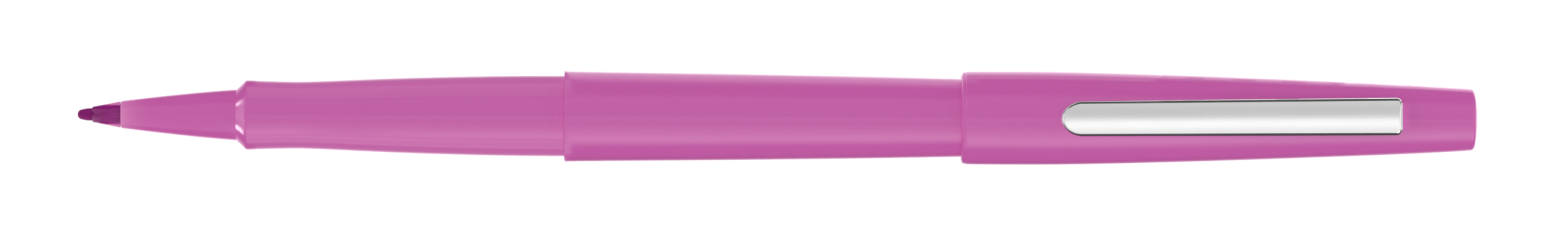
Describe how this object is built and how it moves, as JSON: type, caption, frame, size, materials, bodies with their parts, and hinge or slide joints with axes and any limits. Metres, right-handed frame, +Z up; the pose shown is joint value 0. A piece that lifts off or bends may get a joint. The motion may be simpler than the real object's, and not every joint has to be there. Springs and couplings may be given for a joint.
{
  "type": "felt-tip pen",
  "caption": "Felt-tip pen lying on its side with its slim tapered cap pushed on the tail and a steel pocket clip on top.",
  "frame": {"origin": "on the surface the pen lies on, under the middle of its length and of its width", "axes": "+X from the writing tip towards the cap's closed end, +Y across the pen, +Z up through the clip"},
  "size_m": [0.152, 0.0102, 0.0108],
  "materials": {
    "magenta_plastic": "smooth moulded polypropylene, satin gloss",
    "clear_plastic": "clear moulding stained by the ink",
    "inky_fibre": "pressed fibre, wet with ink",
    "clear_film": "clear wrapped film",
    "white_plastic": "smooth moulded polyethylene",
    "satin_steel": "pressed stainless steel, satin"
  },
  "bodies": {
    "pen": {"nib": "inky_fibre", "point_guard": "clear_plastic", "grip_section": "magenta_plastic", "barrel": "magenta_plastic", "ink_reservoir": "inky_fibre", "reservoir_film": "clear_film"},
    "cap_slider": {"inner_cap": "white_plastic"},
    "cap": {"cap": "magenta_plastic"},
    "clip": {"clip": "satin_steel"}
  },
  "joints": [
    {"name": "cap_pull", "type": "slide", "parent": "pen", "child": "cap_slider", "axis": [1, 0, 0], "range_m": [0, 0.04]},
    {"name": "cap_turn", "type": "hinge", "parent": "cap_slider", "child": "cap", "pos_m": [0.0479, 0, 0.0051], "axis": [1, 0, 0], "continuous": true},
    {"name": "clip_flex", "type": "hinge", "parent": "cap", "child": "clip", "pos_m": [0.06746, 0.00029, 0.00855], "axis": [-0.0105, 0.9999, 0], "range_deg": [0, 5], "stiffness_Nm_per_rad": 0.3, "springref_deg": -2.86}
  ]
}
